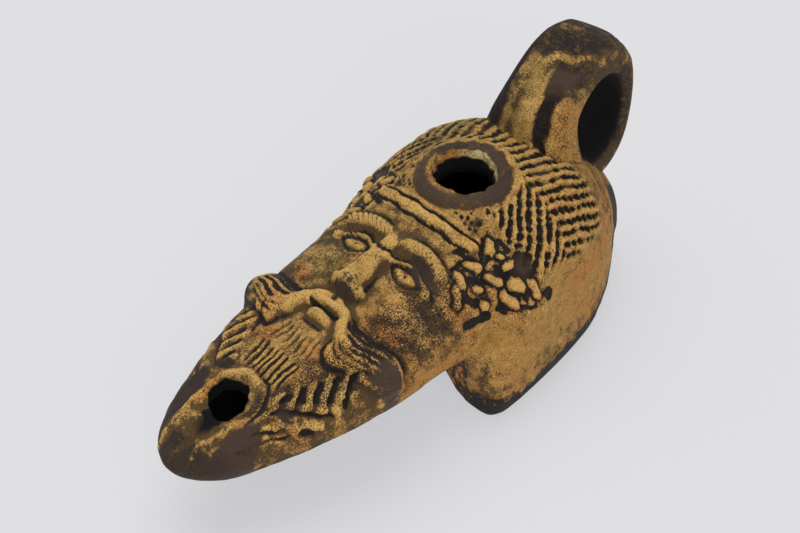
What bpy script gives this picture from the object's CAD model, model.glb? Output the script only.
"""A mould-made clay oil lamp: a bearded head on its back with a ring handle, on a pale floor."""

import math

import bmesh
import bpy
import numpy as np
from bpy.props import FloatProperty, FloatVectorProperty, PointerProperty
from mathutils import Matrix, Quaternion, Vector, noise


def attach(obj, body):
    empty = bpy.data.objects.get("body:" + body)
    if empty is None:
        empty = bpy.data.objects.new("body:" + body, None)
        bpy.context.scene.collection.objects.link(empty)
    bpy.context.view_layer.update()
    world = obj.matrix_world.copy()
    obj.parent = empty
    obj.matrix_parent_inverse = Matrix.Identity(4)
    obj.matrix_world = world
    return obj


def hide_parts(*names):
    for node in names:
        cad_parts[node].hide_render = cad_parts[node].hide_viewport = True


bl_info = {
    "name": "Clay Oil Lamp",
    "version": (1, 0, 0),
    "blender": (4, 5, 0),
    "location": "View3D > Sidebar > Lamp",
    "description": "Builds a head-shaped clay oil lamp and a stage to show it on",
    "category": "Add Mesh",
}

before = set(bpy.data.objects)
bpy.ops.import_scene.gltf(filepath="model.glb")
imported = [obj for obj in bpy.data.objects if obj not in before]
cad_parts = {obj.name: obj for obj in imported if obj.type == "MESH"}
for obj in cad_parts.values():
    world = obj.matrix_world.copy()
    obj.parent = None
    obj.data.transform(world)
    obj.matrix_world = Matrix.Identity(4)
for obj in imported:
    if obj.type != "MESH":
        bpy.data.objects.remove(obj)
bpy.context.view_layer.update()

MM = 0.001

# Sizes in millimetres. The nozzle points along -Y and the lamp stands on Z = 0.
TIP_Y = -55.0
FRONT_Y = -3.8
BACK_Y = 49.0
BACK_RADIUS = 5.0
BASE_WIDTH = 46.0
SKIRT_HEIGHT = 4.0
SKIRT_UNDERCUT = 2.5
SHOULDER = 3.3
CROWN_HEIGHT = 32.4
LOBE_RADIUS = 4.6
LOBE_REACH = 3.8
JAW_WIDTH = 34.0
NOZZLE_CLEARANCE = 9.5
NOZZLE_HEIGHT = 19.2
TIP_RADIUS = 7.0
WALL = 3.0
NOZZLE_WALL = 2.2
FLOOR = 3.0
FILL_HOLE = 12.0
FILL_THROAT = 9.6
FILL_Y = 12.6
COLLAR_WIDTH = 2.3
COLLAR_HEIGHT = 1.2
WICK_HOLE = 7.4
WICK_Y = -41.5
TROUGH_DEPTH = 1.6
HANDLE_TOP = 47.2
HANDLE_BACK_Y = 51.5
HANDLE_WIDTH = 13.8
HANDLE_HOLE_LENGTH = 10.8
HANDLE_HOLE_HEIGHT = 15.6
HANDLE_HOLE_Y = 41.2
HANDLE_HOLE_Z = 32.0
HANDLE_THICK_FRONT = 8.8

COLLAR_RADIUS = FILL_HOLE / 2 + COLLAR_WIDTH
RIM_Z = CROWN_HEIGHT + COLLAR_HEIGHT
# Rounding of the hair mass's front edge, and how far behind it the rows still follow its lobes
HAIR_EDGE = 1.6
LOBE_FADE = 14.0
# Lengths round the head are measured on a circle of this radius.
ARC_RADIUS = 20.0
# Vertices of one piece that lie closer than this become one.
WELD = 0.002 * MM
HANDLE_THICK_BACK = HANDLE_BACK_Y - HANDLE_HOLE_Y - HANDLE_HOLE_LENGTH / 2
HANDLE_THICK_TOP = HANDLE_TOP - HANDLE_HOLE_Z - HANDLE_HOLE_HEIGHT / 2
# The frame's origin lies under the middle of the whole length.
SHIFT_Y = -0.5 * (TIP_Y + HANDLE_BACK_Y)

# Surface masks that the clay material reads, one number each at every vertex
MASKS = ("slip", "glaze", "speck", "tone", "soot", "high", "wash", "crust")


def mix(a, b, t):
    return a + (b - a) * t


def unit(v):
    return np.clip(v, 0, 1)


def ease(lo, hi, v):
    """Rises from 0 to 1 while v runs from lo to hi."""
    t = unit((v - lo) / (hi - lo))
    return t * t * (3.0 - 2.0 * t)


def hill(distance, radius):
    return unit(1.0 - (distance / radius) ** 2) ** 2


def dome(x, y, cx, cy, rx, ry, angle=0.0):
    c, s = math.cos(angle), math.sin(angle)
    u, v = (x - cx) * c + (y - cy) * s, (y - cy) * c - (x - cx) * s
    return hill(np.hypot(u / rx, v / ry), 1.0)


def blend_max(a, b, r):
    t = unit(0.5 + 0.5 * (a - b) / r)
    return mix(b, a, t) + 0.5 * r * t * (1.0 - t)


def line(stations):
    """A smooth line through a few (place, value) stations."""
    places, values = np.array(stations, float).T
    last = len(places) - 1
    before, after = np.maximum(np.arange(last + 1) - 1, 0), np.minimum(np.arange(last + 1) + 1, last)
    slopes = (values[after] - values[before]) / (places[after] - places[before])

    def at(place):
        p = np.clip(place, places[0], places[-1])
        i = np.clip(np.searchsorted(places, p), 1, last)
        h = places[i] - places[i - 1]
        t = (p - places[i - 1]) / h
        return (
            values[i - 1] * (1 + 2 * t) * (1 - t) ** 2
            + values[i] * t * t * (3 - 2 * t)
            + h * t * (1 - t) * (slopes[i - 1] * (1 - t) - slopes[i] * t)
        )

    return at


def stations(size, shares):
    """Places as shares of the way to the nozzle's end or to the back, values as shares of size."""
    return [(-p * TIP_Y if p < 0 else p * BACK_Y, v * size) for p, v in shares]


face_half = line(stations(JAW_WIDTH, [
    (-1, 0.188), (-0.91, 0.224), (-0.82, 0.288), (-0.67, 0.377), (-0.51, 0.447), (-0.33, 0.488),
    (-0.145, 0.5), (0.08, 0.529), (0.33, 0.553), (0.61, 0.5), (0.86, 0.324), (1, 0.177)]))
face_top = line(
    stations(NOZZLE_HEIGHT, [(-1, 0.854), (-0.91, 0.917), (-0.82, 0.979), (-0.67, 1.052)])
    + stations(CROWN_HEIGHT, [
        (-0.51, 0.673), (-0.33, 0.756), (-0.145, 0.849), (0.04, 0.932), (0.245, 1), (0.45, 0.963),
        (0.65, 0.864), (0.86, 0.648), (1, 0.401)]))
face_bottom = line(stations(NOZZLE_CLEARANCE, [
    (-1, 1.137), (-0.82, 1), (-0.545, 1), (-0.145, 0.947), (0.12, 0.632), (0.735, 0.421), (1, 0.21)]))
waist = line(stations(CROWN_HEIGHT, [
    (-1, 0.42), (-0.82, 0.432), (-0.51, 0.451), (-0.145, 0.463), (0.245, 0.432), (0.69, 0.37),
    (0.88, 0.247), (1, 0.142)]))
hair_half = line(stations(BASE_WIDTH, [
    (0.08, 0.5), (0.245, 0.487), (0.41, 0.465), (0.55, 0.43), (0.735, 0.335), (0.88, 0.226), (1, 0.165)]))
hair_top = line([(FRONT_Y, 0.463 * CROWN_HEIGHT)] + stations(CROWN_HEIGHT, [
    (0, 0.586), (0.12, 0.772), (0.245, 0.926), (0.41, 0.994), (0.57, 0.963), (0.735, 0.815),
    (0.88, 0.586), (1, 0.383)]))


def end_cap(y, end, radius):
    u = unit(np.abs(y - end) / radius)
    return np.sqrt(1.0 - (1.0 - u) ** 2)


def face_radius(y, theta, inset):
    c, s = np.abs(np.cos(theta)), np.sin(theta)
    half = face_half(y) - inset
    middle = waist(y)
    rise = np.where(s > 0, face_top(y) - middle, middle - face_bottom(y)) - inset
    n = np.where(s > 0, 2.25, 2.4)
    return 1.0 / ((c / half) ** n + (np.abs(s) / rise) ** n) ** (1.0 / n)


def hair_width(y, z, inset, floor):
    top = hair_top(y) - inset
    plan = hair_half(y) - inset - LOBE_RADIUS * (1 - end_cap(y, FRONT_Y + inset, LOBE_RADIUS))
    skirt = plan - SKIRT_UNDERCUT * (1 - end_cap(z, floor - 1, SKIRT_HEIGHT - floor + 1))
    share = unit((z - SKIRT_HEIGHT) / (top - SKIRT_HEIGHT))
    width = np.where(z < SKIRT_HEIGHT, skirt, plan * (1 - share**SHOULDER) ** (1 / SHOULDER))
    return np.where((z < floor) | (z > top), 0.0, width)


def hair_radius(y, theta, inset, floor):
    c, s, middle = np.abs(np.cos(theta)), np.sin(theta), waist(y)
    low, high = np.zeros_like(y), np.full_like(y, 60.0)
    for _ in range(26):
        r = 0.5 * (low + high)
        inside = hair_width(y, middle + r * s, inset, floor) >= r * c
        low, high = np.where(inside, r, low), np.where(inside, high, r)
    return low


def lobe_front(theta, inset=0.0, floor=0.0):
    """Where the hair mass begins along Y, further back between its two rounded lobes."""
    y = np.full_like(theta, FRONT_Y + inset + 1.0)
    side = np.abs(hair_radius(y, theta, inset, floor) * np.cos(theta))
    return FRONT_Y + inset + LOBE_REACH * (1 - ease(JAW_WIDTH / 2 - 3.5, JAW_WIDTH / 2 + 0.5, side))


def section_radius(y, theta, front, wall, inset=0.0, floor=0.0):
    """Distance from the section's middle to its outline. wall runs from face to hair at the front."""
    face = face_radius(y, theta, inset)
    hair = hair_radius(y, theta, inset, floor) * (0.82 + 0.18 * end_cap(y, front, HAIR_EDGE))
    hair = np.where(y < front - 1e-6, 0.0, hair)
    whole = np.where(np.sin(theta) < 0, np.maximum(face, hair), blend_max(face, hair, 2.5))
    return mix(face, whole, wall)


def chance(i, j, seed):
    """A repeatable number from 0 to 1 for each cell (i, j)."""
    v = np.sin(i * 12.9898 + j * 78.233 + seed * 37.719) * 43758.5453
    return v - np.floor(v)


def lumps(points, size, seed):
    shift = Vector((seed * 3.7, seed * 1.9, seed * 5.3))
    return np.array([noise.noise(Vector(p) / size + shift) for p in points])


def bent(a, b, c):
    """Points along a bow from a to c that is drawn towards b."""
    return [
        tuple((1 - t) ** 2 * a[i] + 2 * t * (1 - t) * b[i] + t * t * c[i] for i in range(2))
        for t in np.linspace(0, 1, 7)
    ]


def blurred(field, reach):
    """A field over the grid, averaged over a square of cells, round the seam and up to the ends."""
    wide = np.pad(field, ((reach, reach), (0, 0)), mode="edge")
    wide = np.pad(wide, ((0, 0), (reach, reach)), mode="wrap")
    for axis in (0, 1):
        wide = sum(np.roll(wide, k, axis) for k in range(-reach, reach + 1)) / (2 * reach + 1)
    return wide[reach:-reach, reach:-reach]


def follow(u, v, points):
    """Distance from a bent line, and the share of its length where that is nearest."""
    nearest, share = np.full_like(u, 1e3), np.zeros_like(u)
    count = len(points) - 1
    for i, ((a, b), (c, d)) in enumerate(zip(points, points[1:])):
        du, dv = c - a, d - b
        t = unit(((u - a) * du + (v - b) * dv) / (du * du + dv * dv))
        far = np.hypot(u - a - t * du, v - b - t * dv)
        closer = far < nearest
        nearest, share = np.where(closer, far, nearest), np.where(closer, (i + t) / count, share)
    return nearest, share


class Skin:
    """The relief over a plain form and its surface masks, built up feature by feature."""

    def __init__(self, count):
        self.height = np.zeros(count)
        self.mask = {name: np.zeros(count) for name in MASKS}

    def lift(self, amount):
        self.height += amount

    def begin(self, **values):
        for name, value in values.items():
            self.mask[name] += value

    def at_least(self, name, *amounts):
        for amount in amounts:
            self.mask[name] = np.maximum(self.mask[name], amount)

    def toward(self, share, **values):
        for name, value in values.items():
            self.mask[name] = mix(self.mask[name], value, unit(share))

    def groove(self, distance, width, depth, dark, where=1):
        cut = hill(distance, width) * where
        self.height -= depth * cut
        self.at_least("slip", dark * ease(0.12, 0.6, cut))

    def stroke(self, u, v, points, width, depth, dark, where=1):
        far, t = follow(u, v, points)
        taper = 0.5 + 0.5 * np.sin(np.pi * np.clip(t, 0.02, 0.98)) ** 0.6
        self.groove(far, width * taper, depth, dark, where)

    def ridge(self, u, v, points, width, height, where):
        far, t = follow(u, v, points)
        top = hill(far, width * (0.55 + 0.45 * np.sin(np.pi * t))) * where
        self.height += height * top
        self.toward(0.9 * ease(0.2, 0.7, top), slip=0)

    def weigh(self, row, column, reach):
        """Marks what stands above its neighbourhood, where the surface is rubbed."""
        whole = np.zeros((row.max() + 1, column.max() + 1))
        whole[row, column] = self.height
        self.mask["high"] = unit(0.5 + 1.5 * (whole - blurred(whole, reach)))[row, column]


# The face is plain and alike on both sides: equal thirds, and eyes one width apart.
EYE_WIDTH = 6
BROW_Y = -4
THIRD = 12.5
NOSE_BASE_Y = BROW_Y - THIRD
EYE_Y = BROW_Y - 0.3 * THIRD
MOUTH_Y = NOSE_BASE_Y - THIRD / 3


def carve_face(skin, x, y):
    a = np.abs(x)
    skin.lift(-2.1 * dome(a, y, EYE_WIDTH, EYE_Y + 0.5, 4.8, 3.8))
    across, up = (a - EYE_WIDTH) / (0.5 * EYE_WIDTH), y - EYE_Y
    almond = np.hypot(across, up / (1.5 - 0.6 * np.clip(across, -1, 1) ** 2))
    upper = ease(-0.5, 0.5, up)
    skin.lift(1.6 * unit(1 - almond**2) ** 0.7)
    edge = (almond - 1) * 1.6
    skin.lift((0.45 + 0.6 * upper) * hill(edge - 0.55, 0.8))
    skin.groove(edge + 0.02, 0.42, 0.25, 0.6 + 0.35 * upper)
    skin.groove(np.hypot(a - EYE_WIDTH, up), 0.6, 0.25, 0.8)
    skin.groove(edge - 1.4, 0.5, 0.4, 0.9, upper)
    # Brows of fine slanting hairs
    brow_line = BROW_Y + 0.9 - 0.04 * (a - 5.6) ** 2
    brow = hill(y - brow_line, 1.5) * (1 - ease(10, 11.5, a)) * ease(1, 2.2, a)
    hairs = 0.5 + 0.5 * np.cos(2 * np.pi * (a - 0.8 * (y - brow_line)))
    skin.lift(brow * (1.35 - 0.5 * hairs))
    skin.at_least("slip", 0.85 * ease(0.3, 0.7, brow) * ease(0.55, 0.9, hairs))
    skin.groove(y - brow_line - 1.6, 0.45, 0.3, 0.6, ease(1.8, 3, a) * (1 - ease(9, 11, a)))
    # Straight nose
    along = unit((BROW_Y - y) / THIRD)
    half = mix(1.7, 2.9, along**1.5)
    ends = ease(BROW_Y + 2.5, BROW_Y - 1.5, y) * ease(NOSE_BASE_Y - 0.7, NOSE_BASE_Y + 0.8, y)
    bridge = mix(1.5, 3.9, along**1.3) * ends * unit(1 - (x / half) ** 2) ** 0.75
    skin.lift(np.maximum(bridge, 2 * dome(a, y, 2.4, NOSE_BASE_Y + 1.3, 1.5, 1.7)))
    skin.groove(a - half - 0.3, 0.55, 0.2, 0.62, ease(0.35, 0.8, along) * ends)
    skin.groove(np.hypot(a - 1.3, (y - NOSE_BASE_Y - 0.2) * 1.4), 0.6, 0.35, 0.8)
    # Cheeks and closed lips
    skin.lift(1.1 * dome(a, y, 9.4, EYE_Y - 5.6, 5.5, 5))
    skin.lift(
        0.7 * dome(x, y, 0, MOUTH_Y + 0.9, 3, 1.1) + 1.7 * dome(x, y, 0, MOUTH_Y - 1.25, 3.1, 1.5))
    skin.groove(y - MOUTH_Y, 0.42, 0.5, 1, 1 - ease(2.6, 3.6, a))
    skin.groove(y - MOUTH_Y + 2.9, 0.6, 0.3, 0.5, 1 - ease(1.6, 2.8, a))


MOUSTACHE_X = 14.4
MOUSTACHE_Y = -21.4


def moustache_edges(t):
    upper = mix(NOSE_BASE_Y - 1, MOUSTACHE_Y + 3, ease(0.1, 1, t)) - 2.4 * np.sin(np.pi * t) ** 2
    lower = mix(NOSE_BASE_Y - 0.27 * THIRD, MOUSTACHE_Y - 3.2, ease(0.12, 0.5, t))
    lower = lower - 2.4 * np.sin(np.pi * unit(t * 1.1)) ** 1.5 * ease(0.12, 0.4, t)
    return upper, lower


def carve_moustache(skin, x, y):
    a = np.abs(x)
    t = unit(a / MOUSTACHE_X)
    upper, lower = moustache_edges(t)
    half, middle = 0.5 * (upper - lower), 0.5 * (upper + lower)
    past = 1 - ease(MOUSTACHE_X + 0.4, MOUSTACHE_X + 2.4, a)
    body = hill(y - middle, half + 0.6) ** 0.5 * past
    skin.lift(2.6 * (0.45 + 0.55 * t) * body)
    across = (y - lower) / (upper - lower)
    for place, start, width, dark, deep in (
        (0.93, 0.22, 0.75, 1.1, 0.7), (0.73, 0.34, 0.72, 1.05, 0.65), (0.53, 0.46, 0.6, 0.9, 0.5),
        (0.34, 0.3, 0.5, 0.6, 0.35), (0.17, 0.24, 0.5, 0.65, 0.4)):
        bow = place - 0.25 * unit(t - 0.8)
        where = ease(start, start + 0.16, t) * (1 - ease(0.86, 0.98, t)) * body
        skin.groove((across - bow) * 2 * half, width, deep, dark, where)
    skin.groove(x, 0.5, 0.35, 0.5, body * ease(0.2, 0.5, across))
    # Creases between the moustache and the cheek, and under its lower edge
    skin.groove(y - upper - 0.4, 0.75, 0.35, 1, ease(0.22, 0.45, t) * past)
    skin.groove(y - lower + 0.5, 0.7, 0.3, 0.75, ease(0.2, 0.4, t) * (1 - ease(0.75, 0.9, t)))


def carve_beard(skin, x, y):
    """Fine hatching below the mouth, short locks beside it and long ones beside the wick hole."""
    a = np.abs(x)
    calm = mix(0.5, 1, ease(-4, 2, x))
    for k in range(7):
        place = -4.2 + 1.4 * k
        skin.stroke(x, y, [(0.8 * place, -25.6 + 0.03 * place**2), (place, -28.6)], 0.5, 0.25, 0.4)
    for k in range(8):
        place = -4.3 + 1.2 * k
        skin.stroke(x, y, [(place, -29.9 - 0.1 * k), (place + 0.25, -35 - 0.1 * k)], 0.5, 0.35, 0.68)
    for i in range(5):
        root = (11.5 - 1.15 * i, -25.1 - 2.4 * i)
        tip = (13.8 - 1.1 * i - 0.12 * i * i, -29.2 - 2.9 * i + 0.18 * i * i)
        skin.ridge(a, y, [(root[0] - 1.3, root[1] - 0.5), (tip[0] - 1.5, tip[1] + 0.3)], 0.95, 0.7, calm)
        skin.stroke(a, y, bent(root, (root[0] + 0.5, root[1] - 2.1), tip), 0.95, 0.8, 1, calm)
    for root, tip, dark in (
        ((13.2, -31.8), (7, -39), 0.9), ((13, -35.3), (7.4, -43.2), 0.95),
        ((11.2, -39), (8, -46.6), 0.75)):
        skin.ridge(a, y, [(root[0], root[1] + 1.3), (tip[0], tip[1] + 1.3)], 1.3, 0.6, calm)
        skin.stroke(a, y, bent(root, (root[0] - 2.2, root[1] - 3), tip), 0.65, 0.45, dark - 0.1, calm)


def carve_nozzle(skin, x, y):
    """A thin crusty lip round the wick hole and a worn trough from it to the tip."""
    v = y - WICK_Y
    d = np.hypot(x, v / 1.15) - WICK_HOLE / 2
    lip = hill(d - 0.6, 1.25) * ease(-5, -1, v) * (0.7 + 0.3 * np.sin(3 * np.arctan2(v, x) + 1))
    near = ease(0, 3, x)
    skin.lift(0.75 * lip * (1 - 0.75 * near))
    skin.toward(1.3 * lip, slip=mix(0.1, 0.6, near))
    skin.toward(lip, wash=mix(0.3, 1.4, near), tone=0.35)
    skin.groove(d - 1.9, 0.5, 0.25, 0.85, ease(-3, 0, v) * ease(0.5, 2.5, x))
    along = unit(v / (TIP_Y - WICK_Y))
    across = x + 0.8 * along
    bed = hill(across, mix(WICK_HOLE / 2 + 1.4, 2.6, along))
    bed = bed * ease(0, 0.2, along) * ease(TIP_Y + 1, TIP_Y + 5, y)
    skin.lift(-TROUGH_DEPTH * bed)
    banks = hill(np.abs(across) - mix(WICK_HOLE / 2 + 1, 2.8, along), 1.1) * ease(0.05, 0.3, along)
    skin.lift(0.45 * banks * ease(TIP_Y, TIP_Y + 3, y))
    return bed, banks


BAND_Y = 1.8
BAND_BEND = 0.0095
BAND_HALF = 0.95


def carve_band(skin, x, y, s):
    d = y - BAND_Y - BAND_BEND * s * s
    side = np.abs(s)
    where = 1 - ease(12.5, 14, side)
    skin.lift(0.8 * hill(d, 2.6) * where)
    for edge in (-1, 1):
        line_at = d - edge * (BAND_HALF + 0.012 * side) + 0.12 * np.sin(0.9 * s + edge)
        skin.groove(line_at, 0.42 + 0.06 * np.sin(1.7 * s), 0.65, 0.95, where)


# Leaves of the wreath on each temple: both ends (round the head, along it), half width, warmth
LEAVES = (
    ((13.3, 6.4), (15.3, 5.5), 0.85, 0.9), ((16.3, 6.2), (17, 7), 0.65, 0.1),
    ((14.8, 0.9), (16.7, 2.4), 0.9, 1.1), ((19.2, 6.3), (18.5, 7.7), 0.9, 0.2),
    ((18.8, 2.9), (21.2, 4.4), 0.85, 0.3), ((21.4, 6.6), (23.4, 6.7), 1, 0.35),
    ((23, 8.7), (25.4, 8.9), 0.85, 0.1), ((23, 4.1), (25.9, 4.9), 0.95, 0.9),
    ((15.2, -1.5), (18.2, -1.6), 0.85, 0.5), ((17.6, -3.1), (21.1, -4.5), 0.85, 1.3),
    ((22.6, -0.1), (24, 0.5), 0.9, 0.9), ((19.3, 0.1), (20.7, 0.8), 0.5, -0.3))
# Dark marks between and beside them: both ends, half width
GAPS = (
    ((19, 9.7), (21, 8.6), 1.6), ((18, 5), (20.7, 5.8), 0.85), ((14.4, 7.9), (16.6, 8.6), 0.75),
    ((12.3, 5.6), (15.5, 3.8), 0.75), ((11.4, 0.9), (14.4, 2.2), 0.75), ((25.5, 10.9), (26.2, 11.3), 1),
    ((25.3, 2.9), (26.1, 3.2), 0.9), ((20.6, -2.2), (22.2, -1.4), 1.2), ((25.5, -3.6), (25.9, 0.4), 1.2),
    ((26.4, 6), (26.9, 8.1), 0.55), ((23.5, 5.3), (24.7, 6.2), 0.6), ((23.4, 7.8), (25.5, 6.8), 0.5),
    ((17.3, 0.1), (19.4, 2), 0.75), ((14, 0.7), (14.3, -1.2), 0.6), ((16.2, 4.6), (17.4, 3), 0.6))


def chip(u, v, start, end, half):
    """Distance from the edge of a leaf with straight sides and pointed ends, negative inside."""
    length = math.dist(start, end)
    across_u, across_v = (start[1] - end[1]) / length, (end[0] - start[0]) / length
    off_u, off_v = u - 0.5 * (start[0] + end[0]), v - 0.5 * (start[1] + end[1])
    across = np.abs(off_u * across_u + off_v * across_v)
    along = np.abs(off_u * across_v - off_v * across_u)
    return np.maximum(across - half, 0.77 * across + 0.64 * (along - 0.5 * length - half))


def carve_wreath(skin, s, y):
    a = np.abs(s)
    leaves = [(chip(a, y, start, end, half - 0.05), warm) for start, end, half, warm in LEAVES]
    rim = np.min([edge for edge, _ in leaves], axis=0)
    skin.lift(0.35 * ease(3, 0.5, rim) - 0.45 * ease(1, 0.3, rim))
    skin.at_least("speck", 0.85 * ease(3.5, 0.8, rim))
    wear = np.sin(1.1 * a + 0.7 * y) * np.sin(0.9 * y - 0.5 * a + 1)
    skin.at_least("slip", (0.74 + 0.22 * wear) * ease(0.9, 0.2, rim))
    for start, end, half in GAPS:
        gap = ease(half + 0.2, half - 0.5, follow(a, y, [start, end])[0])
        skin.lift(-0.3 * gap)
        skin.at_least("slip", 0.95 * gap)
    for edge, warm in leaves:
        leaf = ease(0.15, -0.3, edge)
        skin.lift(0.6 * ease(0.2, -0.3, edge) + 0.15 * unit(-edge))
        skin.toward(leaf, slip=0.1, wash=0.05, speck=0.35, tone=warm + 0.25)
    skin.toward(dome(a, y, 20, 9.1, 3.4, 2.2, -0.4), glaze=0.9)


def dashes(across, along, pitch, step, width, length, seed, drop):
    """Rows of short punched marks. Returns how deep each place lies in one, from 0 to 1."""
    row = np.round(across / pitch)
    offset = step * (chance(row, 3, seed) + 0.12 * np.sin(along))
    cell = np.round((along - offset) / step)
    off_row = across - row * pitch + 0.25 * (chance(row, cell, seed + 1) - 0.5)
    off_cell = along - offset - cell * step
    half_w = 0.5 * width * (0.8 + 0.4 * chance(row, cell, seed + 2))
    half_l = 0.5 * length * (0.65 + 0.6 * chance(row, cell, seed + 3))
    mark = ease(half_w + 0.28, half_w - 0.22, np.abs(off_row))
    mark = mark * ease(half_l + 0.3, half_l - 0.25, np.abs(off_cell))
    return mark * (chance(row, cell, seed + 4) > drop)


def punch(skin, across, along, where, near, pitch, **marks):
    """Strands with short marks punched between them."""
    mark = dashes(across, along, pitch, **marks)
    strand = 0.5 + 0.5 * np.cos(2 * np.pi * across / pitch)
    skin.lift(where * near * (0.45 * (1 - strand) - 0.65 * mark - 0.15))
    skin.at_least("slip", (0.95 * mark + 0.56 * strand * (1 - mark)) * where)


def carve_hair(skin, s, y):
    a = np.abs(s)
    from_hole = np.hypot(s, y - FILL_Y)
    near = mix(0.55, 1, ease(-4, 4, s))
    # Back of the head: rows that run back, leaning outwards
    lean = np.clip(0.03 * a, 0, 0.28)
    back = ease(18, 19.4, y + 0.12 * (a - 12))
    back = back * (1 - ease(29, 30.5, y + 0.08 * np.maximum(a - 14, 0)))
    back = back * ease(8.9, 9.8, from_hole) * (1 - ease(21.5, 23.5, a - 0.12 * (24 - y)))
    rows = a - lean * (y - 19.5) + 0.15 * np.sin(0.6 * y + a)
    punch(skin, rows, y, back, near, pitch=1.9, step=1.35, width=0.9, length=0.8, seed=12, drop=0.12)
    # Temple: rows that run down and forward to the wreath
    across = (a - 11.9) * 0.63 + (y - 18.3) * 0.777
    down = (a - 11.9) * 0.777 - (y - 18.3) * 0.63
    across = across + 0.15 * np.sin(0.7 * down)
    temple = ease(19.2, 18, y + 0.12 * (a - 12)) * ease(9.4, 10.4, from_hole)
    temple = temple * ease(8.6, 10, y - 0.05 * (a - 12) ** 2 * (a < 12)) * (1 - ease(21.4, 23.2, a))
    temple = temple * ease(7, 8.5, a)
    punch(skin, across, down, temple, near, pitch=1.62, step=1.55, width=1, length=1.1, seed=24, drop=0.08)
    # Small pricks in front of the hole
    pricks = dashes(a + 0.4 * y, y - 0.3 * a, 1.25, 1.2, 0.75, 0.75, 41, 0.25)
    where = ease(4.2, 5.4, y) * (1 - ease(15.5, 17.5, y)) * ease(8.6, 9.4, from_hole)
    where = where * ease(2.5, 4.5, a) * (1 - ease(9.5, 11.5, a + 0.2 * (y - 8)))
    skin.lift(-0.3 * pricks * where)
    skin.at_least("slip", 0.9 * pricks * where)
    skin.at_least("speck", 0.6 * np.maximum(back, temple), 0.75 * where)


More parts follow.
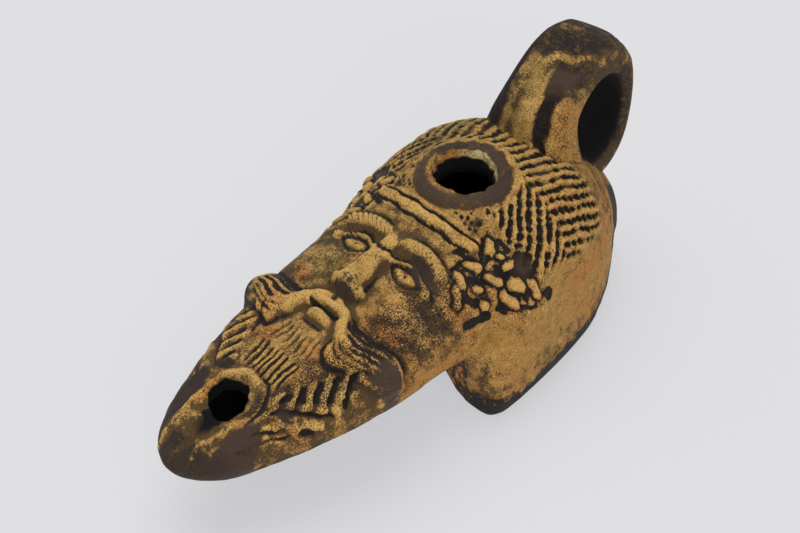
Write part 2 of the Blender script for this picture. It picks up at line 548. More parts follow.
def paint_body(skin, x, y, z, s, theta, bed, banks):
    """Slip left in patches, brown wash, soot, stubble and the clay's warmer and duller places."""
    skin.toward(ease(4, 15, s), tone=0.45)
    skin.toward(ease(-2, -12, s) * ease(-26, -12, y), tone=-0.6)
    skin.toward(ease(8, -4, s) * ease(-6, -2, y) * ease(16, 8, y), tone=-0.3)
    for cx, cy, rx, ry, warm in (
        (8.6, -17.2, 5, 2.6, 1.1), (12.6, -17.6, 3.6, 2.6, 1), (-9, -17, 4, 2.4, 1),
        (-8, -24.5, 4.2, 4.4, 1.2), (-6, -28.8, 5, 4, 1.25), (4, -27, 6, 3, 0.6),
        (1, -24.8, 6, 1.8, 0.15), (14.6, -4, 2.6, 6, 1), (-4.4, -43, 2.8, 5, 1.3),
        (3, -37.5, 3, 1.6, 0.4)):
        skin.toward(1.1 * dome(x, y, cx, cy, rx, ry), tone=warm)
    # Golden clay low on the near side, orange behind the hair and at the root of the handle
    skin.toward(1.3 * dome(s, y, 30, 4, 10, 9), tone=0.55)
    skin.toward(dome(s, y, 19, 33, 9, 5) + dome(s, y, 27, 26, 4, 10), tone=0.95)
    # Smooth dark slip: nose, one brow, the near moustache end, the nozzle's sides and end
    for cx, cy, rx, ry, turn, full, glaze in (
        (0.9, -16, 3.6, 3.4, 0.5, 0.74, 0.7), (7.4, -5.2, 5.6, 2.8, -0.4, 0.72, 0.7),
        (14.2, -21.8, 4, 4.8, 0.1, 0.92, 0.95), (7.2, -47, 4.2, 9.5, -0.05, 0.98, 0.9),
        (-7.2, -45, 3.6, 9.5, 0.1, 1.1, 0.35), (-15.6, -22.5, 3.4, 5.5, 0, 0.95, 0.2),
        (8.6, -37.4, 3.2, 2.4, -0.6, 0.75, 0.5), (-6, -37.2, 3.4, 2.2, 0.4, 0.8, 0.3)):
        patch = dome(x, y, cx, cy, rx, ry, turn)
        skin.at_least("slip", full * ease(0, 0.8, patch))
        skin.toward(ease(0.1, 0.6, patch), glaze=glaze)
    end = ease(-46.5, -52, y)
    skin.at_least("slip", 0.72 * end)
    skin.at_least("wash", end)
    skin.toward(end, glaze=0.45)
    skin.toward(1.2 * bed, slip=0.42)
    skin.toward(1.6 * bed, wash=1.15)
    skin.toward(bed, glaze=0)
    skin.toward(1.1 * banks * ease(1.5, -1.5, x), slip=0.1)
    skin.toward(hill(np.hypot(x - 0.2, 0.8 * (y - WICK_Y + 4.4)), 4.2), soot=0.9)
    # Stubble of fine dots on jaw, cheek and nozzle sides
    stubble = ease(9, 15, s) * ease(-46, -38, y) * ease(1, -5, y)
    skin.at_least(
        "speck", 1.25 * stubble * ease(30, 22, s), 0.75 * dome(x, y, 8, -11, 6.5, 6),
        0.75 * ease(-8, -16, s) * ease(-40, -30, y) * ease(4, -2, y), 0.3)
    # Brown dirt in the stubble, on the far side, round the beard, low on the hair mass and on the face
    across, side = np.abs(x), np.abs(s)
    skin.at_least(
        "wash", 0.65 * stubble * ease(34, 25, s), 0.6 * ease(-9, -19, s) + 0.25 * ease(-24, -34, y),
        0.75 * ease(7, 10, across) * ease(-24, -28, y),
        0.7 * ease(12, 15, s) * ease(-44, -38, y) * ease(-14, -24, y),
        0.45 * ease(26, 34, s) * ease(12, 5, z), 0.48 * ease(26, 20, side),
        0.62 * ease(20, 14, side) * ease(2, -3, y) * ease(-24, -18, y))
    skin.toward(1.3 * dome(s, y, 29, 4, 10, 8.5), wash=-0.8)
    # A smooth ring round the collar, and dirt behind it and on the front of the lobes
    ragged = np.hypot(x, y - FILL_Y) + 0.4 * np.sin(2.1 * x + y)
    ring = ease(COLLAR_RADIUS + 0.2, COLLAR_RADIUS - 0.7, ragged)
    wall = ease(0, -2.5, y) * ease(-6, -3.8, y) * ease(16, 11, z)
    skin.at_least("glaze", 0.8 * ring)
    skin.at_least("wash", 0.55 * ease(18, 26, y) * ease(9, 2, s), ring, 0.5 * wall)
    # Slip under the turn of the jaw and nozzle, on the foot, lobes and flank of the hair mass
    below = ease(0.2, -0.3, np.sin(theta)) * ease(-3.7, -4.1, y)
    foot = ease(7 + 1.6 * ease(5, 18, y), 1.5, z) * ease(-6, -3, y)
    lobe = ease(8, 3, z) * ease(10, 0, y) * ease(-6, -3, y)
    flank = ease(35, 37.5, y + 0.15 * (s - 28)) * ease(13, 17, s) * ease(58, 50, s)
    corner = ease(-4.1, -3.6, y) * ease(2.5, 0.5, y) * ease(17.8, 16, across) * ease(13, 10, z)
    skin.at_least(
        "slip", 0.7 * ring, 0.3 * wall, 0.8 * below, 0.92 * foot, 0.8 * lobe, 0.85 * flank, 0.9 * corner,
        0.5 * ease(-17, -26, s), 0.5 * ease(-9, -12, x) * ease(-22, -25, y),
        0.45 * ease(6, 1, s) * ease(25.5, 29, y))
    # Crack across the far moustache lock
    skin.stroke(x, y, [(-8.7, -24.6), (-9.1, -26.6), (-8.2, -28.4), (-7.9, -29.6)], 0.5, 0.7, 1)
    skin.toward(dome(x, y, -8.6, -27, 1.2, 3.4), glaze=0)


def crowded(radius, count):
    """Distances from a rounded end, closer together near it."""
    return radius * (1 - np.cos(np.linspace(0, np.pi / 2, count)[:-1]))


# Rows and columns of the fine skin, closer where the carving is
def body_rows():
    parts = [
        TIP_Y + crowded(TIP_RADIUS, 22),
        np.linspace(TIP_Y + TIP_RADIUS, FRONT_Y - 0.02, 136),
        np.full(9, FRONT_Y),
        FRONT_Y + crowded(HAIR_EDGE, 8)[1:],
        np.linspace(FRONT_Y + HAIR_EDGE, 34, 118),
        np.linspace(34, BACK_Y - BACK_RADIUS, 26)[1:],
        BACK_Y - crowded(BACK_RADIUS, 16)[::-1],
    ]
    nozzle, hair = sum(map(len, parts[:2])), sum(map(len, parts[3:]))
    wall = [np.zeros(nozzle), np.linspace(0, 1, 9), np.ones(hair)]
    return np.concatenate(parts), np.concatenate(wall)


# Angles between which the lower columns lie, and of the one that runs along the ground's edge
BOTTOM, KNEE, LOW = -np.pi / 2, -0.64, -0.42


def body_columns():
    low = np.concatenate([np.linspace(BOTTOM, KNEE, 18)[:-1], np.linspace(KNEE, LOW, 9)[:-1]])
    return np.concatenate([low, np.linspace(LOW, np.pi - LOW, 188), np.pi - low[::-1]])


def along_edge(theta, y, wall):
    """Moves the lower columns of the hair mass so that one of them follows the edge of its ground."""
    right = np.where(theta > np.pi / 2, np.pi - theta, theta)
    edge = mix(KNEE, -np.arctan2(waist(y), hair_width(y, np.zeros_like(y), 0, 0)), wall)
    below = BOTTOM + (right - BOTTOM) * (edge - BOTTOM) / (KNEE - BOTTOM)
    above = edge + (right - KNEE) * (LOW - edge) / (LOW - KNEE)
    moved = np.where(right < KNEE, below, np.where(right < LOW, above, right))
    return np.where(theta > np.pi / 2, np.pi - moved, moved)


def flat_mesh(name, rows, columns, half_side):
    bm = bmesh.new()
    bmesh.ops.create_grid(bm, x_segments=columns - 1, y_segments=rows - 1, size=half_side)
    mesh = bpy.data.meshes.new(name)
    bm.to_mesh(mesh)
    bm.free()
    return mesh


def grid(name, rows, columns):
    """A flat grid mesh, and each vertex's row and column."""
    mesh = flat_mesh(name, rows, columns, 1)
    flat = np.empty(len(mesh.vertices) * 3)
    mesh.vertices.foreach_get("co", flat)
    flat = flat.reshape(-1, 3)
    row = np.rint((flat[:, 1] + 1) / 2 * (rows - 1)).astype(int)
    column = np.rint((flat[:, 0] + 1) / 2 * (columns - 1)).astype(int)
    return mesh, row, column


def linked(name, data):
    made = bpy.data.objects.new(name, data)
    bpy.context.scene.collection.objects.link(made)
    return made


def close_up(mesh, points, skin):
    """Moves the grid onto the form, closes its seam and poles and turns its faces outwards."""
    placed = (points + np.array([0, SHIFT_Y, 0])) * MM
    mesh.vertices.foreach_set("co", placed.ravel())
    for name in MASKS:
        layer = mesh.attributes.new(name, "FLOAT", "POINT")
        layer.data.foreach_set("value", skin.mask[name])
    bm = bmesh.new()
    bm.from_mesh(mesh)
    bmesh.ops.remove_doubles(bm, verts=bm.verts, dist=WELD)
    bmesh.ops.recalc_face_normals(bm, faces=bm.faces)
    bm.to_mesh(mesh)
    bm.free()
    return linked(mesh.name, mesh)


def wandered(value, points, seed):
    """The carver's hand: marks leave their true lines a little."""
    return value + 0.5 * lumps(points, 2.6, seed) + 0.22 * lumps(points, 0.9, seed + 1)


def fine_body():
    places, walls = body_rows()
    angles = body_columns()
    mesh, row, column = grid("lamp_clay", len(places), len(angles))
    plain_y, wall = places[row], walls[row]
    theta = along_edge(angles[column], plain_y, wall)
    front = lobe_front(theta)
    # Rows near the front of the hair follow its lobes.
    y = plain_y + (front - FRONT_Y) * hill(plain_y - FRONT_Y, LOBE_FADE)
    cap = np.minimum(end_cap(y, TIP_Y, TIP_RADIUS), end_cap(y, BACK_Y, BACK_RADIUS))
    y = np.where(plain_y <= TIP_Y + 1e-6, TIP_Y, y)
    radius = section_radius(y, theta, front, wall) * cap
    c, sn = np.cos(theta), np.sin(theta)
    x, z = radius * c, waist(y) + radius * sn
    turn = np.arctan2(sn, c)
    s = ARC_RADIUS * (np.pi / 2 - np.where(turn < -np.pi / 2, turn + 2 * np.pi, turn))
    points = np.column_stack([x, y, z])
    u, v, w = wandered(x, points, 11), wandered(y, points, 13), wandered(s, points, 15)
    skin = Skin(len(x))
    carve_face(skin, mix(x, u, 0.15), mix(y, v, 0.15))
    carve_moustache(skin, u, v)
    carve_beard(skin, u, v)
    bed, banks = carve_nozzle(skin, u, v)
    carve_band(skin, mix(x, u, 0.4), mix(y, v, 0.4), s)
    carve_wreath(skin, w + 0.2 * lumps(points, 1.2, 17), v + 0.2 * lumps(points, 1.2, 18))
    carve_hair(skin, mix(s, w, 0.6), mix(y, v, 0.6))
    from_hole = np.hypot(x, y - FILL_Y)
    skin.lift(1.4 * (1 - ease(COLLAR_RADIUS - 0.5, COLLAR_RADIUS + 4.5, from_hole)))
    skin.height *= ease(-0.15, 0.2, sn)
    paint_body(skin, x, y, z, s, theta, bed, banks)
    skin.lift((0.22 * lumps(points, 6, 1) + 0.12 * lumps(points, 1.8, 2)) * ease(0.3, 2.5, z))
    skin.weigh(row, column, 4)
    radius = radius + skin.height * np.minimum(1, 3 * cap)
    points = np.column_stack([radius * c, y, waist(y) + radius * sn])
    points[:, 2] = np.maximum(points[:, 2], 0)
    return close_up(mesh, points, skin)


def boxy(v):
    """Turns a cosine into one of a section with fuller corners."""
    return np.sign(v) * np.abs(v) ** 0.7


def fine_handle():
    rows, columns = 141, 81
    mesh, row, column = grid("handle", rows, columns)
    turn, a = 2 * np.pi * row / (rows - 1), 2 * np.pi * column / (columns - 1)
    c, s = np.cos(turn), np.sin(turn)
    back, fore, low = np.maximum(c, 0), np.maximum(-c, 0), np.maximum(-s, 0)
    thick = mix(HANDLE_THICK_TOP, HANDLE_THICK_BACK, back**2)
    thick = thick + (HANDLE_THICK_FRONT - HANDLE_THICK_TOP) * fore**2 + 3 * fore * low
    x, depth = boxy(np.cos(a)), 0.5 + 0.5 * boxy(np.sin(a))
    root = fore * (1 - ease(-0.7, 0.5, s))
    flare = fore * (1 - ease(-0.1, 0.95, s)) * ease(0.1, -0.9, x) * depth
    half = 0.5 * HANDLE_WIDTH * (1 - 0.1 * back + 0.3 * root)
    x = x * (half + 0.5 * HANDLE_WIDTH * 0.42 * flare)
    inner_y = HANDLE_HOLE_Y + 0.5 * HANDLE_HOLE_LENGTH * c
    inner_z = HANDLE_HOLE_Z + 0.5 * HANDLE_HOLE_HEIGHT * s
    reach = np.hypot(HANDLE_HOLE_HEIGHT * c, HANDLE_HOLE_LENGTH * s)
    out_y, out_z = HANDLE_HOLE_HEIGHT * c / reach, HANDLE_HOLE_LENGTH * s / reach
    outer = ease(0.7, 0.95, depth)
    points = np.column_stack([x, inner_y + out_y * thick * depth, inner_z + out_z * thick * depth])
    z = points[:, 2]
    skin = Skin(len(x))
    place = x / half + 0.05 * lumps(points, 3, 21)
    front = ease(-0.1, 0.35, fore) * outer
    skin.groove((place - 0.5) * half, 2.1, 1, 0, front * ease(45.5, 41, z))
    skin.groove((place + 0.4) * half, 1.5, 0.35, 0, front * ease(41, 36, z))
    skin.lift(0.35 * hill(place - 0.88, 0.25) * front * ease(44, 40, z))
    skin.lift(0.45 * lumps(points, 5, 3) + 0.22 * lumps(points, 1.6, 4))
    # Brown and black all over but for the olive and tan ridges of the front
    skin.begin(wash=1.2, speck=0.75)
    skin.at_least(
        "slip", 0.5, 0.62 * ease(41.5, 44.5, z) * ease(1.3, 0.6, place), 0.6 * ease(0.1, 0.6, c),
        0.8 * ease(-0.66, -0.8, place))
    ridge = ease(-0.8, -0.62, place) * ease(0.31, 0.19, place) * front * ease(45.6, 44, z)
    skin.toward(ridge, slip=0.16, wash=0.3, tone=-0.45, speck=0.55)
    groove = hill(place - 0.43, 0.26) * front * ease(41.5, 40, z)
    skin.at_least("slip", 1.1 * groove)
    right = ease(0.62, 0.74, place) * ease(0.2, 0.5, fore) * ease(44, 38, z)
    skin.toward(right, slip=0.05, wash=-0.15, tone=0.5)
    cap = ease(0.1, 0.24, place) * ease(40.8, 42, z) * ease(45.2, 44.4, z) * front
    skin.toward(cap, slip=0.85, glaze=1)
    seam = hill(z - 45.7 - 0.5 * place, 0.55) * ease(-0.15, 0.05, place) * ease(0.75, 0.5, place)
    seam = seam * front
    skin.toward(1.2 * seam, slip=0)
    skin.toward(seam, wash=0, tone=0.45)
    side = ease(0.8, 0.95, place) * ease(0.5, 0.75, depth) * ease(-0.4, 0.2, c)
    skin.toward(side, slip=0.3, wash=0.75)
    skin.toward(ease(0.4, 0.05, depth), soot=1)
    skin.weigh(row, column, 3)
    points[:, 1] += out_y * skin.height * outer
    points[:, 2] += out_z * skin.height * outer
    return close_up(mesh, points, skin)


def hollow():
    """The chamber and the channel to the wick hole: the outer form, one wall further in."""
    front_y, back_y = WICK_Y - WICK_HOLE / 2 + 0.4, BACK_Y - 2 * WALL
    front_cap, back_cap = 2.4, 5
    lobe_y = FRONT_Y + WALL
    places = np.concatenate([
        front_y + crowded(front_cap, 6), np.linspace(front_y + front_cap, lobe_y - 0.02, 20),
        [lobe_y, lobe_y + 0.5, lobe_y + 1.1], np.linspace(lobe_y + HAIR_EDGE, back_y - back_cap, 22),
        back_y - crowded(back_cap, 7)[::-1]])
    angles = np.linspace(-0.5 * np.pi, 1.5 * np.pi, 49)
    mesh, row, column = grid("hollow", len(places), len(angles))
    plain_y, theta = places[row], angles[column]
    front = lobe_front(theta, WALL, FLOOR)
    y = plain_y + (front - lobe_y) * hill(plain_y - lobe_y, LOBE_FADE)
    cap = np.minimum(end_cap(y, front_y, front_cap), end_cap(y, back_y, back_cap))
    inset = mix(NOZZLE_WALL, WALL, ease(WICK_Y + 8, FRONT_Y - 8, y))
    radius = section_radius(y, theta, front, 1, inset, FLOOR) * cap
    skin = Skin(len(y))
    skin.begin(soot=1)
    points = np.column_stack([radius * np.cos(theta), y, waist(y) + radius * np.sin(theta)])
    return close_up(mesh, points, skin)


def around(radius, angle, z, y=0):
    return np.column_stack([radius * np.cos(angle), y + radius * np.sin(angle), z])


def turned(name, profile, step, y, rim, segments, paint):
    """A closed turned form about a vertical axis, from (radius, height over the rim) points."""
    ring = []
    for (r0, z0), (r1, z1) in zip(profile, profile[1:]):
        count = max(1, int(round(math.hypot(r1 - r0, z1 - z0) / step)))
        ring += [(mix(r0, r1, k / count), mix(z0, z1, k / count)) for k in range(count)]
    ring.append(profile[-1])
    mesh, row, column = grid(name, len(ring), segments + 1)
    radius, z = np.array(ring, float).T[:, row]
    angle = 2 * np.pi * column / segments
    skin = Skin(len(z))
    radius, z = paint(skin, radius, z, angle)
    return close_up(mesh, around(radius, angle, rim + z, y), skin)


def wobble(angle, seed):
    waves = ((2, 1), (3, 0.7), (5, 0.5), (9, 0.35), (14, 0.2))
    return sum(k * np.sin(n * angle + seed * n * 1.7 + k * 5) for n, k in waves) / 2


def collar():
    edge, hole = COLLAR_RADIUS, FILL_HOLE / 2
    profile = [
        (0, -6), (edge - 1, -6), (edge + 0.6, -2.2), (edge + 0.15, -0.9), (edge - 0.45, -0.25),
        (edge - 1.2, 0), (hole, -0.1), (hole - 0.6, -0.3), (0, -0.3)]

    def paint(skin, radius, z, angle):
        top = ease(-2.4, -1, z) * ease(0, 0.3, radius)
        skin.begin(
            slip=(0.68 + 0.1 * np.sin(3 * angle + 1)) * top, glaze=0.7 + 0.3 * np.cos(angle + 1.2),
            wash=1, speck=0.7, high=0.5)
        # Rubbed inner edge towards the nozzle
        rubbed = hill(radius - hole, 1.2) * ease(-0.3, -0.9, np.sin(angle + 0.5))
        skin.toward(rubbed, slip=0.3, wash=0.2, tone=0.5)
        spot = around(radius, angle, RIM_Z + z)
        rough = (0.4 * lumps(spot, 2.4, 31) + 0.3 * lumps(spot, 0.9, 32)) * ease(1, 4, radius)
        return radius * (1 + 0.014 * wobble(angle, 2)), z + rough * ease(-4, -1, z)

    return turned("collar", profile, 0.4, FILL_Y, RIM_Z, 144, paint)


def throat():
    hole, low = FILL_HOLE / 2, -COLLAR_HEIGHT - 12
    profile = [
        (0, low), (FILL_THROAT / 2 + 1, low), (FILL_THROAT / 2, -3), (hole - 0.6, -1), (hole - 0.25, 0.2),
        (hole, 4), (0, 4)]

    def paint(skin, radius, z, angle):
        left, behind = ease(0.3, 0.9, -np.cos(angle + 0.5)), ease(0.2, 0.9, np.sin(angle + 0.1))
        clean = np.maximum(left, behind)
        skin.begin(
            soot=1 - ease(-1.9, -0.8, z) * (0.5 + 0.5 * clean), slip=0.45 - 0.45 * clean,
            wash=0.5 - 0.5 * clean, tone=1.1 * left - 0.3, crust=0.6 * behind * ease(-2, -0.9, z),
            speck=0.6, high=0.6)
        rough = 0.4 * wobble(angle, 1) + 0.6 * lumps(around(radius, angle, RIM_Z + z), 1.3, 33)
        return radius + ease(-4.5, -0.5, z) * rough * ease(0, 2, radius), z

    return turned("throat", profile, 0.35, FILL_Y, RIM_Z, 144, paint)


def wick():
    hole, low, rim = WICK_HOLE / 2, waist(WICK_Y) - 0.6 - NOZZLE_HEIGHT, NOZZLE_HEIGHT
    profile = [(0, low), (hole - 0.6, low), (hole - 0.4, -1.5), (hole - 0.1, 0), (hole + 0.4, 5), (0, 5)]

    def paint(skin, radius, z, angle):
        near_rim = ease(-0.6, 1, z)
        skin.begin(soot=1 - 0.4 * near_rim, slip=0.7 - 0.3 * near_rim, wash=1, speck=0.6, high=0.4)
        rough = 0.4 * wobble(angle, 5) + 0.25 * lumps(around(radius, angle, rim + z), 1.2, 34)
        return radius + (rough + 0.35 * np.cos(angle + 1.9)) * ease(0, 2, radius), z

    return turned("wick", profile, 0.4, WICK_Y, rim, 108, paint)


def combine(lamp, tool, operation):
    """Joins or cuts and keeps the result as the lamp's mesh. The tool is removed."""
    step = lamp.modifiers.new("step", "BOOLEAN")
    step.operation = operation
    step.solver = "MANIFOLD"
    step.object = tool
    mesh = bpy.data.meshes.new_from_object(lamp.evaluated_get(bpy.context.evaluated_depsgraph_get()))
    if len(mesh.polygons) in (0, len(lamp.data.polygons)):
        raise RuntimeError(f"{operation} with {tool.name} did nothing")
    lamp.modifiers.clear()
    lamp.data = mesh
    bpy.data.objects.remove(tool)


def soften(lamp, middle, radius):
    """Rounds the crease near a place, given in millimetres."""
    bm = bmesh.new()
    bm.from_mesh(lamp.data)
    centre = Vector((middle[0], middle[1] + SHIFT_Y, middle[2])) * MM
    near = [v for v in bm.verts if (v.co - centre).length < radius * MM]
    for _ in range(5):
        bmesh.ops.smooth_vert(bm, verts=near, factor=0.5, use_axis_x=True, use_axis_y=True, use_axis_z=True)
    bm.to_mesh(lamp.data)
    bm.free()


def blacken_inside(lamp):
    """Soot on what the cuts left below the two rims."""
    place, layer = np.empty(len(lamp.data.vertices) * 3), lamp.data.attributes["soot"].data
    lamp.data.vertices.foreach_get("co", place)
    x, y, z = place.reshape(-1, 3).T / MM - np.array([[0.0], [SHIFT_Y], [0.0]])
    soot = np.empty(len(x))
    layer.foreach_get("value", soot)
    for centre_y, hole, low, high in (
        (FILL_Y, FILL_HOLE, CROWN_HEIGHT - 8, RIM_Z - 2.5),
        (WICK_Y, WICK_HOLE, NOZZLE_CLEARANCE + 2, NOZZLE_HEIGHT - 1.3)):
        soot[(np.hypot(x, y - centre_y) < hole / 2 + 1) & (z > low) & (z < high)] = 1
    layer.foreach_set("value", soot)


def summed(operation, swap=False):
    def method(self, other):
        a, b = (other, self) if swap else (self, other)
        return self.shader.node("ShaderNodeMath", {"operation": operation}, {0: a, 1: b})

    return method


class Socket:
    """A shader output that takes part in Python sums."""

    def __init__(self, shader, output):
        self.shader, self.output = shader, output

    __add__, __sub__, __mul__ = summed("ADD"), summed("SUBTRACT"), summed("MULTIPLY")
    __rsub__ = summed("SUBTRACT", swap=True)


class Shader:
    """A node material that is written as expressions."""

    def __init__(self, name):
        self.material = bpy.data.materials.new(name)
        self.material.use_nodes = True
        self.tree = self.material.node_tree
        self.tree.nodes.clear()

    def node(self, kind, settings=None, inputs=None, output=0):
        made = self.tree.nodes.new(kind)
        for key, value in (settings or {}).items():
            setattr(made, key, value)
        for key, value in (inputs or {}).items():
            if isinstance(value, Socket):
                self.tree.links.new(value.output, made.inputs[key])
            else:
                made.inputs[key].default_value = value
        return Socket(self, made.outputs[output]) if made.outputs else made

    def mask(self, name):
        return self.node("ShaderNodeAttribute", {"attribute_name": name}, output="Fac")

    def noise(self, place, scale, detail, rough=0.5):
        inputs = {"Vector": place, "Scale": scale, "Detail": detail, "Roughness": rough}
        return self.node("ShaderNodeTexNoise", {}, inputs)

    def step(self, low, high, value):
        inputs = {"Value": value, "From Min": low, "From Max": high}
        return self.node("ShaderNodeMapRange", {"interpolation_type": "SMOOTHSTEP"}, inputs)

    def colour(self, factor, a, b):
        a, b = (v if isinstance(v, Socket) else (*v, 1.0) for v in (a, b))
        return self.node("ShaderNodeMix", {"data_type": "RGBA"}, {0: factor, 6: a, 7: b}, output=2)

    def surface(self, **inputs):
        inputs = {name.replace("_", " "): value for name, value in inputs.items()}
        shader = self.node("ShaderNodeBsdfPrincipled", {}, inputs)
        self.node("ShaderNodeOutputMaterial", {}, {"Surface": shader})
        return self.material


SOOT = (0.004, 0.003, 0.003)


def clay_material(tones):
    m = Shader("slipped_clay")
    # Object coordinates in millimetres
    here = m.node("ShaderNodeTexCoord", output="Object")
    here = m.node("ShaderNodeVectorMath", {"operation": "SCALE"}, {0: here, "Scale": 1 / MM})
    slip, glaze, speck, tone, soot, high, wash, crust = (m.mask(name) for name in MASKS)
    high = high - 0.5
    broad, cloud, patch, grain, fine = (m.noise(here, *size) - 0.5 for size in (
        (0.11, 3), (0.42, 5, 0.62), (1.1, 5, 0.65), (2.9, 6, 0.75), (7.5, 3, 0.6)))
    clay = m.colour(m.step(-0.08, 0.08, patch), tones.ochre, tones.tan)
    clay = m.colour(m.step(0.05, 1.05, tone + broad * 1.6 + patch * 1.1), clay, tones.orange)
    clay = m.colour(m.step(0.1, 0.95, patch * 0.8 - broad * 1.2 - tone), clay, tones.olive)
    rubbed = grain * 1.6 + high * 0.5 + fine * 0.6
    clay = m.colour(m.step(0.05, 0.27, rubbed) * 0.85, clay, tones.pale)
    # Brown dirt, thickest in the hollows and rubbed off the heights
    dirt = wash * 0.9 - high * 1.7 + cloud * 2.6 + patch * 1.1 - grain * 2.6
    clay = m.colour(m.step(0.16, 0.85, dirt) * 0.92, clay, tones.brown)
    # Slip that survives in patches with broken edges, and as dots
    film = m.step(0.5, 0.64, slip - high * 0.35 + patch + grain * 1.25)
    dots = m.noise(here, 3.9, 2.5, 0.55)
    worn = m.step(0.0, 0.05, dots - 0.68 + speck * 0.17 + cloud * 0.25 + fine * 0.1)
    film = m.node("ShaderNodeMath", {"operation": "MAXIMUM"}, {0: film, 1: worn * 0.9})
    black = m.colour(m.step(-0.15, 0.2, patch), tones.slip, [2.6 * v for v in tones.slip])
    black = m.colour(glaze * 0.9, black, tones.glaze)
    black = m.colour(m.step(0, 0.22, grain) * 0.5, black, tones.brown)
    black = m.colour(m.step(0.1, 0.2, fine) * glaze * 0.5, black, tones.ochre)
    surface = m.colour(film, clay, black)
    surface = m.colour(m.step(0.3, 0.6, crust + grain * 2.2), surface, tones.crust)
    surface = m.colour(m.step(0.25, 0.8, soot + patch * 0.5), surface, SOOT)
    rough = 0.8 - film * 0.1 - film * glaze * 0.24
    relief = grain * 0.24 + fine * 0.12 - film * 0.04 + patch * 0.16
    bump = m.node("ShaderNodeBump", {}, {"Strength": 1.0, "Distance": MM, "Height": relief})
    return m.surface(Base_Color=surface, Roughness=rough, Normal=bump, IOR=1.45, Specular_IOR_Level=0.35)


def floor_material(tone, glow):
    m = Shader("floor_paper")
    here = m.node("ShaderNodeTexCoord", output="Object")
    tint = m.colour(m.noise(here, 3.0, 2.0) * 0.12, tone, [0.93 * v for v in tone])
    return m.surface(
        Base_Color=tint, Roughness=0.6, Emission_Color=(0.97, 0.97, 1.0, 1.0), Emission_Strength=glow)


def colour_property(name, description, default):
    return FloatVectorProperty(
        name=name, description=description, subtype="COLOR", size=3, default=default, min=0, max=1)


def amount_property(name, description, default, unit="NONE"):
    return FloatProperty(name=name, description=description, default=default, min=0, unit=unit)


class LampClay(bpy.types.PropertyGroup):
    """Colours of the clay and of what is left on it"""

    ochre: colour_property("Ochre", "Main colour of the fired clay", (0.42, 0.235, 0.06))
    tan: colour_property("Tan", "Lighter clay", (0.61, 0.35, 0.095))
    pale: colour_property("Pale", "Rubbed grains of clay", (0.92, 0.555, 0.165))
    orange: colour_property("Orange", "Clay that fired redder", (0.56, 0.225, 0.045))
    olive: colour_property("Olive", "Dull, greenish clay", (0.225, 0.165, 0.045))
    brown: colour_property("Brown", "Dirt in the hollows", (0.09, 0.052, 0.021))
    slip: colour_property("Slip", "Dark slip in the grooves", (0.01, 0.007, 0.006))
    glaze: colour_property("Smooth slip", "Smooth brown slip", (0.085, 0.049, 0.031))
    crust: colour_property("Crust", "Pale deposit at the filling hole", (0.9, 0.74, 0.38))


class LampStage(bpy.types.PropertyGroup):
    """Floor, light and camera"""

    floor: colour_property("Floor", "Colour of the floor", (0.245, 0.243, 0.248))
    floor_size: amount_property("Floor size", "Side of the floor", 6.0, "LENGTH")
    glow: amount_property("Glow", "Light that comes through the floor", 0.52)
    key_power: amount_property("Key power", "Power of the large soft light", 5.0, "POWER")
    fill_power: amount_property("Fill power", "Power of the side light", 2.0, "POWER")
    world: amount_property("World", "Strength of the even light", 0.34)


class LAMP_OT_clay(bpy.types.Operator):
    """Build the lamp of clay"""

    bl_idname = "lamp.clay"
    bl_label = "Lamp of clay"

    def execute(self, context):
        lamp = fine_body()
        combine(lamp, fine_handle(), "UNION")
        for place, reach in (((-1, 32.0, 30.5), 9.0), ((6.5, 36.5, 26.5), 6.0), ((-6.5, 36.5, 26.5), 6.0)):
            soften(lamp, place, reach)
        combine(lamp, collar(), "UNION")
        combine(lamp, hollow(), "DIFFERENCE")
        combine(lamp, throat(), "DIFFERENCE")
        combine(lamp, wick(), "DIFFERENCE")
        blacken_inside(lamp)
        lamp.data.shade_smooth()
        lamp.data.materials.clear()
        lamp.data.materials.append(clay_material(context.scene.lamp_clay))
        lamp.data.polygons.foreach_set("material_index", np.zeros(len(lamp.data.polygons), int))
        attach(lamp, "root")
        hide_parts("lamp")
        return {"FINISHED"}


CAMERA_TARGET = Vector((-5.08, 3.83, 15.0)) * MM
CAMERA_BACK = Vector((0.508, -0.516, 0.690))
CAMERA_DISTANCE = 297.09 * MM
CAMERA_ROLL = math.radians(-0.08)
CAMERA_LENS = 76.5


def light(name, place, size, power):
    glow = bpy.data.lights.new(name, "AREA")
    glow.shape = "DISK"
    glow.size = size
    glow.energy = power
    holder = linked(name, glow)
    holder.location = place
    holder.rotation_euler = (Vector((0, 0, 0.01)) - Vector(place)).to_track_quat("-Z", "Y").to_euler()


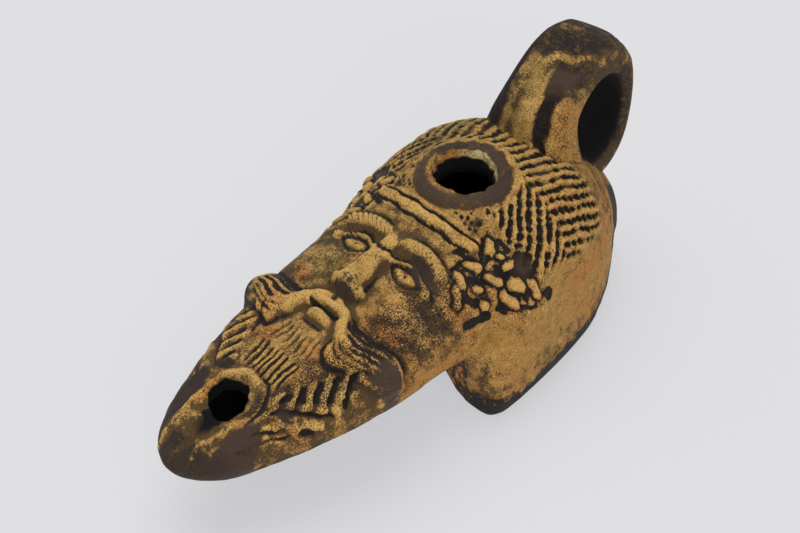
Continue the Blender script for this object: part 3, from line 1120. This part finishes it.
class LAMP_OT_stage(bpy.types.Operator):
    """Build the floor, the lights and the camera"""

    bl_idname = "lamp.stage"
    bl_label = "Stage"

    def execute(self, context):
        sizes = context.scene.lamp_stage
        floor = linked("floor", flat_mesh("floor", 2, 2, sizes.floor_size / 2))
        floor.data.materials.append(floor_material(sizes.floor, sizes.glow))
        light("key", place=(-0.3, 0.2, 0.85), size=1.1, power=sizes.key_power)
        light("fill", place=(0.6, -0.35, 0.45), size=0.6, power=sizes.fill_power)
        world = bpy.data.worlds.new("studio")
        world.use_nodes = True
        background = world.node_tree.nodes["Background"]
        background.inputs["Color"].default_value = (0.95, 0.97, 1.0, 1.0)
        background.inputs["Strength"].default_value = sizes.world
        context.scene.world = world
        camera = bpy.data.cameras.new("camera")
        camera.lens = CAMERA_LENS
        camera.sensor_width = 36.0
        camera.clip_start = 0.01
        holder = linked("camera", camera)
        back = CAMERA_BACK.normalized()
        holder.location = CAMERA_TARGET + back * CAMERA_DISTANCE
        turn = back.to_track_quat("Z", "Y") @ Quaternion((0, 0, 1), CAMERA_ROLL)
        holder.rotation_euler = turn.to_euler()
        context.scene.camera = holder
        context.scene.view_settings.view_transform = "Standard"
        return {"FINISHED"}


class LAMP_PT_panel(bpy.types.Panel):
    """Shows the settings of the lamp and its stage"""

    bl_idname = "LAMP_PT_panel"
    bl_label = "Clay oil lamp"
    bl_space_type = "VIEW_3D"
    bl_region_type = "UI"
    bl_category = "Lamp"

    def draw(self, context):
        scene = context.scene
        for operator, group in (("lamp.clay", scene.lamp_clay), ("lamp.stage", scene.lamp_stage)):
            box = self.layout.box()
            for name in group.bl_rna.properties.keys():
                if name not in ("rna_type", "name"):
                    box.prop(group, name)
            box.operator(operator)


CLASSES = (LampClay, LampStage, LAMP_OT_clay, LAMP_OT_stage, LAMP_PT_panel)


def register():
    for cls in CLASSES:
        bpy.utils.register_class(cls)
    bpy.types.Scene.lamp_clay = PointerProperty(type=LampClay)
    bpy.types.Scene.lamp_stage = PointerProperty(type=LampStage)


def unregister():
    del bpy.types.Scene.lamp_stage
    del bpy.types.Scene.lamp_clay
    for cls in reversed(CLASSES):
        bpy.utils.unregister_class(cls)


def main():
    register()
    bpy.ops.lamp.clay()
    bpy.ops.lamp.stage()


if __name__ == "__main__":
    main()
